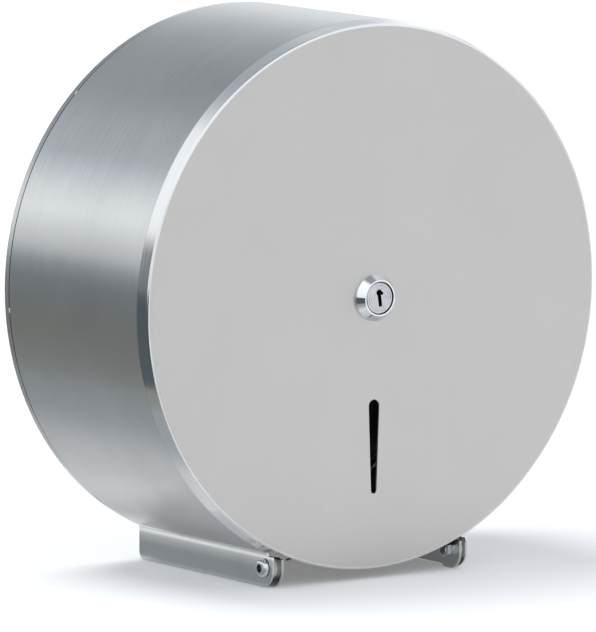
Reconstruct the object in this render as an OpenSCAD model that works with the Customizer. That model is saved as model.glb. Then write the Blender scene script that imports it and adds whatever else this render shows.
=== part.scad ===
// Jumbo toilet roll dispenser: a round stainless steel case that hangs on a wall.
// The origin is the centre of the back plate's wall face, +Y points into the wall,
// +Z is up and the round front panel faces -Y. All sizes are in millimetres.

/* [Case] */
// Outer diameter of the drum
case_d = 280; // [270:1:310]
// Depth from the wall to the face of the front panel
case_depth = 128.5; // [118:0.5:150]
// Thickness of the cover's sheet
cover_t = 1; // [0.8:0.1:1.4]

/* [Front panel] */
// How much the flat face's radius is smaller than the drum's
rim_inset = 2; // [1:0.1:4]
// Depth of the sloping ground rim behind the face
rim_depth = 6.8; // [5:0.1:10]
// Bend radius between the face and the rim
face_edge_r = 1.4; // [1:0.1:2.5]
// Width of the gap in the rim over each hinge ear
rim_notch_w = 12; // [9:0.1:14]
// Height of the lip that is left of the rim there, inside the panel's sheet
rim_notch_lip = 0.2; // [0.1:0.05:0.4]

/* [Viewing slit] */
// Distance of the slit's top end below the centre
slit_drop = 52; // [40:1:60]
// Length of the slit
slit_len = 48; // [30:1:60]
// Width of the slit at its top end
slit_top_w = 6.5; // [5:0.1:9]
// Width of the slit at its bottom end
slit_low_w = 3.4; // [2:0.1:4.5]

/* [Paper exit and legs] */
// Clear width between the two legs, which is the width of the paper exit
leg_gap = 119; // [112:0.5:124]
// Outer radius of the crease between the drum and a leg
leg_bend_r = 1.5; // [1:0.1:3]
// Height of a leg's flat side below the crease
leg_h = 16.6; // [15:0.1:22]
// Distance of a leg's front end behind the face
leg_front = 2.6; // [2:0.1:4]
// Corner radius at a leg's lower front end
leg_front_r = 9; // [4:0.5:10]
// Corner radius at a leg's lower rear end
leg_rear_r = 4.5; // [2:0.5:8]

/* [Back plate] */
// Thickness of the back plate and its flange
plate_t = 1.2; // [1:0.1:2]
// How much the flange's radius is smaller than the drum's
flange_inset = 0.4; // [0.2:0.1:1.5]
// Height of the flange, from the wall to its front edge
flange_h = 5.3; // [4:0.1:10]
// Bend radius at the back plate's edge
plate_edge_r = 2.2; // [2:0.1:3.5]
// Gap between the drum's rear edge and the flange
seam_gap = 1.2; // [1:0.1:2]
// Diameter of the wall screw holes
wall_hole_d = 6.5; // [4:0.1:8]
// Distance between the wall screw holes, across and up
wall_hole_pitch = 150; // [110:1:160]

/* [Rim bumpers] */
// Width of a bumper along the rim
bumper_w = 2.6; // [2:0.1:5]
// Thickness of a bumper's walls
bumper_t = 0.9; // [0.6:0.1:1]
// Depth of a bumper behind the flange's edge
bumper_grip = 3.2; // [2:0.1:4]

/* [Hinge] */
// Distance of the hinge axis behind the face
hinge_back = 10; // [9:0.1:12]
// Height of the hinge axis above a leg's bottom edge
hinge_rise = 9.8; // [8.5:0.1:11]
// Thickness of a hinge arm
arm_t = 1.5; // [1:0.1:2.5]
// Free space between a leg and the arm beside it
arm_space = 3.35; // [2.5:0.05:5]
// Radius of the bend between an arm and its foot
arm_bend_r = 1.5; // [1:0.1:3]
// Distance of an ear's front edge behind the face
ear_front = 0.9; // [0.5:0.1:2]
// Depth of an ear below the hinge axis
ear_drop = 10; // [9:0.1:10.5]
// Gap between an ear and the drum above it
ear_clear = 0.8; // [0.5:0.1:1.5]
// Depth of an arm's lower edge below the hinge axis
arm_drop = 8.5; // [7:0.1:8.8]
// Corner radius at an arm's lower rear end
arm_corner_r = 5; // [2:0.5:8]
// Distance behind the hinge axis at which an arm starts to rise into the drum
arm_rise_start = 4; // [3:0.5:6]
// Distance behind the hinge axis at which an arm has its full height
arm_rise_end = 16; // [12:0.5:24]
// Width of an arm's foot on the back plate
foot_w = 25; // [20:0.5:30]
// Height of an arm's foot on the back plate
foot_h = 21; // [18:0.5:30]
// Corner radius of an arm's foot
foot_corner_r = 3; // [1:0.5:5]
// Distance between the two rivets of a foot
foot_rivet_pitch = 11; // [8:0.5:12]
// Diameter of a hinge screw
hinge_screw_d = 5; // [4:0.1:6]
// Diameter of a hinge screw's head
hinge_head_d = 9.6; // [8:0.1:11]
// Height of a hinge screw's head
hinge_head_h = 2.75; // [2:0.05:4]
// Height of the straight edge of a hinge screw's head
hinge_head_edge = 0.5; // [0.3:0.1:1]
// Size of the hexagon socket across its flats
hinge_socket = 3; // [2:0.1:4]
// Depth of the hexagon socket
hinge_socket_depth = 1.6; // [1:0.1:1.8]
// Wall of the bush that a leg turns on
bush_wall = 0.9; // [0.6:0.05:1.2]
// Outer diameter of the spacer ring between an arm and its leg
spacer_d = 11; // [9:0.1:13]
// Thickness of the washer under a hinge nut
hinge_washer_t = 1; // [0.5:0.1:1.2]
// Outer diameter of the washer under a hinge nut
hinge_washer_d = 10; // [9:0.1:10.4]
// How far a hinge screw's end stands out of its nut
hinge_shank_past = 0.4; // [0.2:0.1:1.5]
// Size of a hinge nut across its flats
hinge_nut_af = 8; // [7:0.1:8.2]
// Thickness of a hinge nut
hinge_nut_h = 2.7; // [2:0.1:3.2]

/* [Spindle] */
// Outer diameter of the spindle tube
spindle_d = 42; // [40:0.5:50]
// Wall of the spindle tube
spindle_wall = 1.2; // [1:0.1:2]
// Diameter of the spindle's base flange
base_d = 76; // [68:1:90]
// Thickness of the spindle's base flange
base_t = 2; // [1.5:0.1:4]
// Height of the collar on the base flange that fits inside the tube
collar_h = 8; // [4:0.5:15]
// Diameter of the circle that the base flange's rivets stand on
base_rivet_circle = 60; // [58:0.5:62]
// Room between the drum and the largest roll that the dispenser takes
roll_room = 14; // [12:0.5:22]

/* [Strike plate] */
// Thickness of the strike plate
strike_t = 1.5; // [1:0.1:2]
// How far the strike plate lies inside the tube's mouth
strike_sink = 0.5; // [0.3:0.1:1]
// Depth of the skirt that holds the strike plate in the tube
strike_skirt = 8; // [4:0.5:12]
// Gap round the lock's barrel in the strike plate's hole
strike_hole_gap = 1; // [0.75:0.05:1.5]

/* [Lock] */
// Diameter of the lock's barrel
barrel_d = 19; // [17:0.5:20]
// Width of the barrel across its two flats
barrel_flat = 17; // [15.5:0.1:18]
// Length of the barrel behind the face
barrel_len = 19; // [16:0.5:24]
// How far the bezel reaches past the barrel
bezel_brim = 2.5; // [1.5:0.1:4]
// Height of the bezel's straight edge
bezel_edge_h = 1.2; // [0.6:0.1:2]
// Diameter of the bezel's front ring
bezel_front_d = 18.4; // [18:0.1:20]
// Height of the bezel in front of the face
bezel_h = 5; // [4:0.1:7]
// Chamfer at the edge of the bezel's front ring
bezel_chamfer = 0.3; // [0.1:0.1:0.6]
// Diameter of the plug's face
plug_face_d = 16.4; // [14:0.1:17]
// Thickness of the plug's face
plug_face_t = 2; // [1:0.1:3]
// How far the plug's face lies below the bezel's front ring
plug_sink = 0.4; // [0.1:0.1:0.8]
// Diameter of the plug inside the barrel
plug_d = 12; // [10:0.1:13]
// Length of the keyhole, across its round end and its slot
keyhole_len = 8.6; // [6:0.1:11]
// Diameter of the keyhole's round end
keyhole_d = 3; // [2:0.1:4]
// Width of the keyhole's slot
keyhole_slot = 1.6; // [1:0.1:1.8]
// Width of the step beside the keyhole's round end
keyhole_step_w = 0.7; // [0.3:0.1:1]
// Height of the step beside the keyhole's round end
keyhole_step_h = 1.2; // [0.6:0.1:1.5]
// Depth of the keyhole
keyhole_depth = 12; // [6:0.5:14]
// Thickness of the lock nut
lock_nut_h = 4; // [3:0.1:6]
// Wall of the lock nut at its flats
lock_nut_wall = 2; // [1.5:0.1:3.5]
// Thickness of the lock washer
lock_washer_t = 0.8; // [0.5:0.1:1.5]

/* [Cam] */
// Thickness of the cam
cam_t = 2; // [1.5:0.1:3]
// Width of the cam
cam_w = 12; // [10:0.1:14]
// Reach of the cam from the lock's axis to its tip
cam_reach = 16; // [14.5:0.1:16.5]
// Corner radius at the cam's tip
cam_tip_r = 2; // [1:0.1:4]
// Diameter of the cam's round end on the plug
cam_hub_d = 14; // [12:0.5:15]
// Side of the plug's square tail
tail_side = 7; // [5:0.1:8]
// Diameter of the cam screw
cam_screw_d = 4; // [3:0.1:4]
// Diameter of the cam screw's head
cam_head_d = 7; // [6:0.1:8]
// Height of the cam screw's head
cam_head_h = 2.4; // [1.5:0.1:3]
// Width of the slot in the cam screw's head
cam_head_slot = 1; // [0.6:0.1:1.4]
// Length of the cam screw's shank in the plug
cam_screw_len = 7; // [4:0.5:10]
// Thickness of the cam washer
cam_washer_t = 0.8; // [0.5:0.1:1.2]
// Diameter of the cam washer
cam_washer_d = 11; // [9:0.1:12]

/* [Rivets] */
// Diameter of a rivet's shank
rivet_d = 4; // [3:0.1:5]
// Diameter of a rivet's head
rivet_head_d = 7; // [5.5:0.1:8]
// Height of a rivet's head
rivet_head_h = 1.4; // [1:0.1:2]
// Height of the straight edge of a rivet's head
rivet_head_edge = 0.4; // [0.2:0.1:0.8]
// Diameter of a rivet's flush tail in the wall face
rivet_tail_d = 5.4; // [5.2:0.1:7]

/* [Fits] */
// Radial clearance of what turns on or in something
running_clear = 0.05; // [0.02:0.01:0.1]
// Radial clearance of a screw, rivet or barrel in its hole
loose_clear = 0.1; // [0.05:0.05:0.3]
// Least gap between the cover and what it moves past
moving_gap = 0.3; // [0.2:0.05:0.5]
// Gap round the plug's face
plug_gap = 0.2; // [0.1:0.05:0.3]
// Gap round the cam in the strike plate's slot
strike_gap = 1.25; // [1:0.05:1.5]
// Gap between the locked cam and the strike plate
cam_play = 0.7; // [0.4:0.1:1.5]
// Gap between the largest roll and the hinge arms
roll_clear = 3; // [2:0.5:6]

/* [Hidden] */

$fn = 96;
// Length by which a cutter runs past what it cuts
past = 2;
// Length by which two parts of one piece run into each other
bite = 0.5;
steel = [0.76, 0.77, 0.76];
satin = [0.82, 0.82, 0.81];
dark_steel = [0.62, 0.63, 0.64];
chrome = [0.88, 0.89, 0.91];
zinc = [0.72, 0.74, 0.76];
nylon = [0.93, 0.93, 0.91];

// A length rounded to hundredths, so that pieces which meet there share the same figure
function hundredths(v) = round(100 * v) / 100;

case_r = case_d / 2;
face_r = case_r - rim_inset;
rim_slope = atan(rim_inset / rim_depth);
rim_wall = cover_t / cos(rim_slope);
drum_depth = case_depth - flange_h - seam_gap;
flange_r = case_r - flange_inset;

// A leg's inner face and the centre of its crease, on the right-hand side
leg_in = leg_gap / 2;
leg_out = leg_in + cover_t;
crease_x = leg_out + leg_bend_r;
crease_z = -hundredths(sqrt(pow(case_r + leg_bend_r, 2) - pow(crease_x, 2)));
leg_low_z = crease_z - leg_h;
// How much thinner each side of the sheet is in a tight bend
bend_thinning = 0.04;

hinge_z = leg_low_z + hinge_rise;
arm_out = leg_in - arm_space;
arm_in = arm_out - arm_t;
ear_top_z = -hundredths(sqrt(pow(case_r, 2) - pow(arm_out, 2))) - ear_clear;
roll_r = case_r - cover_t - roll_room;
arm_top_z = -hundredths(sqrt(pow(roll_r + roll_clear, 2) - pow(arm_in, 2)));
// What lies below the flange stops short of it, and what lies above it goes on to the plate
arm_rear = drum_depth - moving_gap;
flange_in_r = flange_r - plate_t;
arm_step_z = -hundredths(sqrt(pow(flange_in_r - seam_gap, 2) - pow(arm_out, 2)));
foot_front = case_depth - plate_t - arm_t;
foot_out = arm_in - arm_bend_r;
foot_low_z = arm_step_z;
foot_mid_x = foot_out - foot_w / 2;
foot_mid_z = foot_low_z + foot_h / 2;

hinge_hole_r = hinge_screw_d / 2 + loose_clear;
bush_r = hinge_hole_r + bush_wall;
bush_end = leg_out + moving_gap;
hinge_nut_in = arm_in - hinge_washer_t - hinge_nut_h;

// The gap in the rim ends just past the leg. The lip's nearest corner passes under the ear.
rim_notch_out = leg_out + leg_bend_r / 2;
rim_notch_front = cover_t + rim_notch_lip;
lip_r = case_r - (rim_depth - rim_notch_front) * tan(rim_slope);
lip_z = -sqrt(pow(lip_r, 2) - pow(arm_in, 2));
ear_swing_r = norm([hinge_back - rim_notch_front, lip_z - hinge_z]) - moving_gap;
ear_low_half = sqrt(pow(ear_swing_r, 2) - pow(ear_drop, 2));
arm_low_start = sqrt(pow(ear_swing_r, 2) - pow(arm_drop, 2));

spindle_r = spindle_d / 2;
spindle_in_r = spindle_r - spindle_wall;
base_front = case_depth - plate_t - base_t;
cam_front = barrel_len + moving_gap;
strike_back = cam_front - cam_play;
strike_front = strike_back - strike_t;
strike_r = spindle_in_r - loose_clear;
tube_front = strike_front - strike_sink;

bezel_d = barrel_d + 2 * bezel_brim;
lock_nut_af = barrel_d + 2 * lock_nut_wall;
plug_bore_r = plug_d / 2 + running_clear;
plug_recess_r = plug_face_d / 2 + plug_gap;
cam_back = cam_front + cam_t;
cam_screw_r = cam_screw_d / 2;

// A rivet's tail fills a countersink in most of the back plate's thickness
rivet_tail_h = 0.8 * plate_t;

bumper_angles = [45, 135, -4, 184, 240, 300];

// Y of a point that lies d behind the face of the front panel
function behind(d) = d - case_depth;

// Points along an arc about c, from angle a0 to a1
function arc(c, r, a0, a1, n = 8) =
    [for (i = [0:n]) c + r * [cos(a0 + (a1 - a0) * i / n), sin(a0 + (a1 - a0) * i / n)]];

// Solid between two distances behind the face, from an outline in X and Z
module between(d0, d1) {
    translate([0, behind(d1), 0])
        rotate([90, 0, 0])
            linear_extrude(d1 - d0)
                children();
}

// Solid between two X values, from an outline in Y and Z
module across(x0, x1) {
    translate([x0, 0, 0])
        rotate([90, 0, 90])
            linear_extrude(x1 - x0)
                children();
}

// Solid turned about the dispenser's axis, from an outline in radius and distance behind the face
module turned() {
    translate([0, behind(0), 0])
        rotate([-90, 0, 0])
            rotate_extrude()
                children();
}

// Round bar along the dispenser's axis direction, between two distances behind the face
module bar(r, d0, d1) {
    translate([0, behind(d0), 0])
        rotate([-90, 0, 0])
            cylinder(r = r, h = d1 - d0);
}

module both_sides() {
    children();
    mirror([1, 0, 0])
        children();
}

module round_rect(size, r) {
    square([size.x, size.y - 2 * r], center = true);
    square([size.x - 2 * r, size.y], center = true);
    for (sx = [-1, 1], sz = [-1, 1])
        translate([sx * (size.x / 2 - r), sz * (size.y / 2 - r)])
            circle(r);
}

// Outline of the barrel: a circle with two flats
module double_d(r, flat) {
    intersection() {
        circle(r);
        square([3 * r, flat], center = true);
    }
}

// Rivet whose tail is closed flush with the wall face, seen as an outline in radius and Y
module rivet_outline(grip) {
    seat = -plate_t - grip;
    head_r = rivet_head_d / 2;
    crown = rivet_head_h - rivet_head_edge;
    ball_r = (pow(head_r, 2) + pow(crown, 2)) / (2 * crown);
    half = asin(head_r / ball_r);
    polygon(concat(
        [[0, 0], [rivet_tail_d / 2, 0], [rivet_d / 2, -rivet_tail_h], [rivet_d / 2, seat], [head_r, seat]],
        arc([0, seat - rivet_head_h + ball_r], ball_r, -90 + half, -90, 6)
    ));
}

module rivet(grip) {
    rotate([-90, 0, 0])
        rotate_extrude()
            rivet_outline(grip);
}

// Hole for a rivet through the plate and the piece on it
module rivet_hole(grip) {
    r = rivet_d / 2 + loose_clear;
    tail_r = rivet_tail_d / 2 + loose_clear;
    rotate([90, 0, 0])
        cylinder(r = r, h = plate_t + grip + past);
    translate([0, past, 0])
        rotate([90, 0, 0])
            cylinder(r = tail_r, h = past);
    rotate([90, 0, 0])
        cylinder(r1 = tail_r, r2 = r, h = rivet_tail_h);
}

module at_foot_rivets() {
    for (s = [-1, 1])
        translate([foot_mid_x, 0, foot_mid_z + s * foot_rivet_pitch / 2])
            children();
}

module at_base_rivets() {
    for (a = [45:90:315])
        rotate([0, a, 0])
            translate([base_rivet_circle / 2, 0, 0])
                children();
}

module back_plate() {
    inner_r = plate_edge_r - plate_t;
    rim_front = case_depth - flange_h;
    floor_front = case_depth - plate_t;
    color(steel)
        difference() {
            turned()
                polygon(concat(
                    [[0, case_depth]],
                    arc([flange_r - plate_edge_r, case_depth - plate_edge_r], plate_edge_r, 90, 0),
                    [[flange_r, rim_front], [flange_in_r, rim_front]],
                    arc([flange_in_r - inner_r, floor_front - inner_r], inner_r, 0, 90, 4),
                    [[0, floor_front]]
                ));
            for (sx = [-1, 1], sz = [-1, 1])
                translate([sx * wall_hole_pitch / 2, 0, sz * wall_hole_pitch / 2])
                    bar(wall_hole_d / 2, floor_front - past, case_depth + past);
            both_sides()
                at_foot_rivets()
                    rivet_hole(0);
            at_base_rivets()
                rivet_hole(0);
        }
}

// Clips on the flange's edge that keep the drum's rear edge from rattling on it
module rim_bumpers() {
    edge = case_depth - flange_h;
    clip_in = flange_in_r - loose_clear;
    clip_out = flange_r + flange_inset / 2;
    clip_front = edge - seam_gap + moving_gap;
    color(nylon)
        for (a = bumper_angles)
            rotate([0, -a, 0])
                translate([0, behind(0), -bumper_w / 2])
                    linear_extrude(bumper_w)
                        polygon([
                            [clip_in - bumper_t, edge + bumper_grip],
                            [clip_in, edge + bumper_grip],
                            [clip_in, edge],
                            [clip_out, edge],
                            [clip_out, clip_front],
                            [clip_in - bumper_t, clip_front]
                        ]);
}

module spindle_base() {
    color(dark_steel)
        difference() {
            union() {
                bar(base_d / 2, base_front, base_front + base_t);
                bar(spindle_in_r - loose_clear, base_front - collar_h, base_front + base_t);
            }
            bar(spindle_in_r - loose_clear - spindle_wall, base_front - collar_h - past, case_depth);
            at_base_rivets()
                rivet_hole(base_t);
        }
}

module spindle_rivets() {
    color(zinc)
        at_base_rivets()
            rivet(base_t);
}

module spindle_tube() {
    color(steel)
        difference() {
            bar(spindle_r, tube_front, base_front);
            bar(spindle_in_r, tube_front - past, base_front + past);
        }
}

// Cup in the tube's mouth: the cam goes in through its slot and turns behind it
module strike_plate() {
    slot_w = cam_w + 2 * strike_gap;
    slot_top = cam_reach + strike_gap;
    color(dark_steel)
        difference() {
            bar(strike_r, strike_front, strike_back + strike_skirt);
            bar(strike_r - spindle_wall, strike_back, strike_back + strike_skirt + past);
            bar(barrel_d / 2 + strike_hole_gap, strike_front - past, strike_back + past);
            between(strike_front - past, strike_back + past)
                translate([-slot_w / 2, 0])
                    square([slot_w, slot_top]);
        }
}

// Side view of an arm with its ear, as an outline in Y and Z
module arm_outline() {
    low = hinge_z - arm_drop;
    ear_low = hinge_z - ear_drop;
    bend_start = foot_front - arm_bend_r;
    polygon(concat(
        [
            [behind(ear_front), ear_top_z],
            [behind(ear_front), hinge_z - ear_low_half],
            [behind(hinge_back - ear_low_half), ear_low],
            [behind(hinge_back + ear_low_half), ear_low],
            [behind(hinge_back + arm_low_start), low]
        ],
        arc([behind(arm_rear - arm_corner_r), low + arm_corner_r], arm_corner_r, -90, 0),
        [
            [behind(arm_rear), arm_step_z],
            [behind(bend_start), arm_step_z],
            [behind(bend_start), arm_top_z],
            [behind(hinge_back + arm_rise_end), arm_top_z],
            [behind(hinge_back + arm_rise_start), ear_top_z]
        ]
    ));
}

// Right-hand arm: a strip with an ear at the front and a foot bent inwards at the back
module hinge_arm() {
    bend_start = foot_front - arm_bend_r;
    difference() {
        union() {
            across(arm_in, arm_out)
                arm_outline();
            translate([foot_out, behind(bend_start), arm_step_z])
                linear_extrude(arm_top_z - arm_step_z)
                    intersection() {
                        difference() {
                            circle(arm_bend_r + arm_t);
                            circle(arm_bend_r);
                        }
                        square(arm_bend_r + arm_t);
                    }
            between(foot_front, foot_front + arm_t) {
                translate([foot_mid_x, foot_mid_z])
                    round_rect([foot_w, foot_h], foot_corner_r);
                translate([foot_mid_x, foot_low_z])
                    square([foot_w / 2, arm_top_z - foot_low_z]);
            }
        }
        translate([arm_in - past, behind(hinge_back), hinge_z])
            rotate([0, 90, 0])
                cylinder(r = hinge_hole_r, h = arm_t + 2 * past);
        at_foot_rivets()
            rivet_hole(arm_t);
    }
}

module hinge_arm_right() {
    color(dark_steel)
        hinge_arm();
}

module hinge_arm_left() {
    color(dark_steel)
        mirror([1, 0, 0])
            hinge_arm();
}

module arm_rivets() {
    color(zinc)
        both_sides()
            at_foot_rivets()
                rivet(arm_t);
}

// Puts a piece on both hinge axes, with its own +Z pointing away from the case's middle
module at_hinges(x) {
    both_sides()
        translate([x, behind(hinge_back), hinge_z])
            rotate([0, 90, 0])
                children();
}

module ring(r_in, r_out, h) {
    difference() {
        cylinder(r = r_out, h = h);
        translate([0, 0, -past])
            cylinder(r = r_in, h = h + 2 * past);
    }
}

module hinge_bushes() {
    color(zinc)
        at_hinges(arm_out)
            ring(hinge_hole_r, bush_r, bush_end - arm_out);
}

module hinge_spacers() {
    color(nylon)
        at_hinges(arm_out)
            ring(bush_r + running_clear, spacer_d / 2, leg_in - moving_gap - arm_out);
}

module hinge_washers() {
    color(zinc)
        at_hinges(arm_in - hinge_washer_t)
            ring(hinge_hole_r, hinge_washer_d / 2, hinge_washer_t);
}

module hinge_nuts() {
    color(zinc)
        at_hinges(hinge_nut_in)
            difference() {
                cylinder(d = hinge_nut_af / cos(30), h = hinge_nut_h, $fn = 6);
                translate([0, 0, -past])
                    cylinder(r = hinge_hole_r, h = hinge_nut_h + 2 * past);
            }
}

// Button-head screws with a hexagon socket, heads outside the legs
module hinge_screws() {
    head_r = hinge_head_d / 2;
    crown = hinge_head_h - hinge_head_edge;
    flat_r = 1.25 * hinge_socket / cos(30) / 2;
    ball_r = (pow(head_r - flat_r, 2) + pow(crown, 2)) / (2 * crown);
    half = asin((head_r - flat_r) / ball_r);
    shank_end = hinge_nut_in - hinge_shank_past;
    color(chrome)
        at_hinges(bush_end)
            difference() {
                union() {
                    rotate_extrude()
                        polygon(concat(
                            [[0, 0], [head_r, 0]],
                            arc([flat_r, hinge_head_h - ball_r], ball_r, 90 - half, 90),
                            [[0, hinge_head_h]]
                        ));
                    translate([0, 0, shank_end - bush_end])
                        cylinder(d = hinge_screw_d, h = bush_end - shank_end + hinge_head_edge);
                }
                translate([0, 0, hinge_head_h - hinge_socket_depth])
                    cylinder(d = hinge_socket / cos(30), h = past, $fn = 6);
            }
}

// Cross-section of the drum: a ring that is open below, with a crease at each end.
// The sheet is a little thinner in the crease, where it was bent.
module drum_section() {
    crease = [crease_x, crease_z];
    to_axis = atan2(-crease.y, -crease.x);
    lap = 4;
    reach = 3 * (leg_bend_r + cover_t);
    difference() {
        circle(case_r);
        circle(case_r - cover_t);
        polygon([[0, 0], 1.5 * crease, 1.5 * [-crease.x, crease.y]]);
    }
    both_sides()
        translate(crease)
            intersection() {
                difference() {
                    circle(leg_bend_r + cover_t - bend_thinning);
                    circle(leg_bend_r + bend_thinning);
                }
                polygon([
                    [0, 0],
                    reach * [cos(to_axis - lap), sin(to_axis - lap)],
                    reach * [cos(180 + lap), sin(180 + lap)]
                ]);
            }
}

// Side view of a leg, as an outline in Y and Z
module leg_outline() {
    polygon(concat(
        [[behind(leg_front), crease_z]],
        arc([behind(leg_front + leg_front_r), leg_low_z + leg_front_r], leg_front_r, 180, 270),
        arc([behind(drum_depth - leg_rear_r), leg_low_z + leg_rear_r], leg_rear_r, 270, 360),
        [[behind(drum_depth), crease_z]]
    ));
}

// One bent sheet: the drum's wall and the two legs that its ends are bent down into
module drum_wall() {
    color(steel)
        difference() {
            union() {
                between(rim_depth, drum_depth)
                    drum_section();
                both_sides()
                    across(leg_in, leg_out)
                        leg_outline();
            }
            both_sides()
                translate([leg_in - past, behind(hinge_back), hinge_z])
                    rotate([0, 90, 0])
                        cylinder(r = bush_r + running_clear, h = cover_t + 2 * past);
        }
}

// Tapered slit with round ends
module slit_outline() {
    top_r = slit_top_w / 2;
    low_r = slit_low_w / 2;
    top_z = -slit_drop - top_r;
    low_z = -slit_drop - slit_len + low_r;
    lean = asin((top_r - low_r) / (top_z - low_z));
    polygon(concat(
        arc([0, top_z], top_r, lean, 180 - lean, 24),
        arc([0, low_z], low_r, 180 - lean, 360 + lean, 24)
    ));
}

// Dished front panel: flat face, rounded edge and a sloping rim that the drum is welded to
module front_panel() {
    turn = 90 - rim_slope;
    tangent = face_edge_r * tan(turn / 2);
    face_in_r = face_r - cover_t * tan(turn / 2);
    color(satin)
        difference() {
            turned()
                polygon(concat(
                    [[0, 0]],
                    arc([face_r - tangent, face_edge_r], face_edge_r, -90, -rim_slope),
                    [[case_r, rim_depth], [case_r - rim_wall, rim_depth], [face_in_r, cover_t], [0, cover_t]]
                ));
            between(-past, cover_t + past)
                double_d(barrel_d / 2 + loose_clear, barrel_flat + 2 * loose_clear);
            between(-past, cover_t + past)
                slit_outline();
            both_sides()
                translate([rim_notch_out - rim_notch_w, behind(rim_notch_front), -case_r])
                    cube([rim_notch_w, rim_depth, case_r / 3]);
        }
}

module lock_housing() {
    color(chrome)
        difference() {
            union() {
                turned()
                    polygon([
                        [0, -bezel_h],
                        [bezel_front_d / 2 - bezel_chamfer, -bezel_h],
                        [bezel_front_d / 2, -bezel_h + bezel_chamfer],
                        [bezel_d / 2, -bezel_edge_h],
                        [bezel_d / 2, 0],
                        [0, 0]
                    ]);
                between(-bite, barrel_len)
                    double_d(barrel_d / 2, barrel_flat);
            }
            bar(plug_bore_r, -bezel_h - past, barrel_len + past);
            bar(plug_recess_r, -bezel_h - past, -bezel_h + plug_sink + plug_face_t + plug_gap);
        }
}

module lock_washer() {
    color(zinc)
        difference() {
            bar(lock_nut_af / 2, cover_t, cover_t + lock_washer_t);
            bar(barrel_d / 2 + loose_clear, 0, cover_t + lock_washer_t + past);
        }
}

module lock_nut() {
    front = cover_t + lock_washer_t;
    color(zinc)
        difference() {
            between(front, front + lock_nut_h)
                circle(d = lock_nut_af / cos(30), $fn = 6);
            bar(barrel_d / 2 + loose_clear, front - past, front + lock_nut_h + past);
        }
}

// Keyhole: a round end on top, a slot below it and a small step at the side
module keyhole_outline() {
    top = keyhole_len / 2 - keyhole_d / 2;
    translate([0, top])
        circle(d = keyhole_d);
    translate([-keyhole_slot / 2, -keyhole_len / 2])
        square([keyhole_slot, keyhole_len / 2 + top]);
    translate([0, top - keyhole_step_h])
        square([keyhole_d / 2 + keyhole_step_w, keyhole_step_h]);
}

module lock_plug() {
    front = -bezel_h + plug_sink;
    color(chrome)
        difference() {
            union() {
                bar(plug_face_d / 2, front, front + plug_face_t);
                bar(plug_d / 2, front, cam_front);
                between(cam_front - bite, cam_back)
                    square(tail_side, center = true);
            }
            between(front - past, front + keyhole_depth)
                keyhole_outline();
            bar(cam_screw_r + loose_clear, cam_back - cam_screw_len - bite, cam_back + past);
        }
}

module lock_cam() {
    hole = tail_side + 2 * loose_clear;
    color(zinc)
        between(cam_front, cam_back)
            difference() {
                union() {
                    circle(d = cam_hub_d);
                    translate([-cam_w / 2, 0])
                        square([cam_w, cam_reach - cam_tip_r]);
                    translate([-cam_w / 2 + cam_tip_r, 0])
                        square([cam_w - 2 * cam_tip_r, cam_reach]);
                    for (s = [-1, 1])
                        translate([s * (cam_w / 2 - cam_tip_r), cam_reach - cam_tip_r])
                            circle(cam_tip_r);
                }
                square(hole, center = true);
            }
}

module cam_washer() {
    color(zinc)
        difference() {
            bar(cam_washer_d / 2, cam_back, cam_back + cam_washer_t);
            bar(cam_screw_r + loose_clear, cam_back - past, cam_back + cam_washer_t + past);
        }
}

module cam_screw() {
    seat = cam_back + cam_washer_t;
    color(zinc)
        difference() {
            union() {
                bar(cam_screw_r, cam_back - cam_screw_len, seat + bite);
                bar(cam_head_d / 2, seat, seat + cam_head_h);
            }
            between(seat + cam_head_h / 2, seat + cam_head_h + past)
                square([cam_head_d + past, cam_head_slot], center = true);
        }
}

back_plate();
rim_bumpers();
spindle_base();
spindle_rivets();
spindle_tube();
strike_plate();
hinge_arm_left();
hinge_arm_right();
arm_rivets();
hinge_bushes();
hinge_spacers();
hinge_screws();
hinge_washers();
hinge_nuts();
drum_wall();
front_panel();
lock_housing();
lock_washer();
lock_nut();
lock_plug();
lock_cam();
cam_washer();
cam_screw();
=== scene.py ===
"""Round wall dispenser for jumbo toilet rolls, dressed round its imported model.

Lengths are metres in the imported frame: +X to the right, +Y into the wall, +Z up.
Sizes written in mm are turned to metres with MM. A depth is counted in mm back from the
front panel's face.
"""

from math import asin, atan2, cos, degrees, pi, radians, sin, sqrt, tan

import bmesh
import bpy
from mathutils import Matrix, Vector


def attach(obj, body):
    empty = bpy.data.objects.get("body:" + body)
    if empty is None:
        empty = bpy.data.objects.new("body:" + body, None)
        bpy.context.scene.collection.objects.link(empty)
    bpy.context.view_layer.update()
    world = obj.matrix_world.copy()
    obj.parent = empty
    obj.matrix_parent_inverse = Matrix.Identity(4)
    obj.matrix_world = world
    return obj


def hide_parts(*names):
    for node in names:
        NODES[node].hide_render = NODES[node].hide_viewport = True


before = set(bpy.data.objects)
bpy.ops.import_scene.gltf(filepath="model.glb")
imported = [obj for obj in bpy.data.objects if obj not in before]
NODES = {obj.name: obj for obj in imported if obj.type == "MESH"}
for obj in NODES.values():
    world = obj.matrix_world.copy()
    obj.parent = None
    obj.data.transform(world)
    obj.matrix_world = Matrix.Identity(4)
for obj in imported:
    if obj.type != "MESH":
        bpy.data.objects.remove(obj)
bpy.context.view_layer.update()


# The view: a long lens 4.3 m in front of the panel, to its left and a little above it.
# Its place was fitted to the front circle, the rear circle and the slit.
SCENE = bpy.context.scene
camera_data = bpy.data.cameras.new("long_lens")
camera_data.sensor_fit = "HORIZONTAL"
camera_data.sensor_width = 36
camera_data.lens = 516.8
camera_data.clip_end = 60
camera = bpy.data.objects.new("camera", camera_data)
stands_at, looks_along, rolled = (-2.4924, -3.6058, 0.5368), (0.5706, 0.8114, -0.1267), 0.17
facing = Vector(looks_along).to_track_quat("-Z", "Y").to_matrix().to_4x4()
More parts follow.
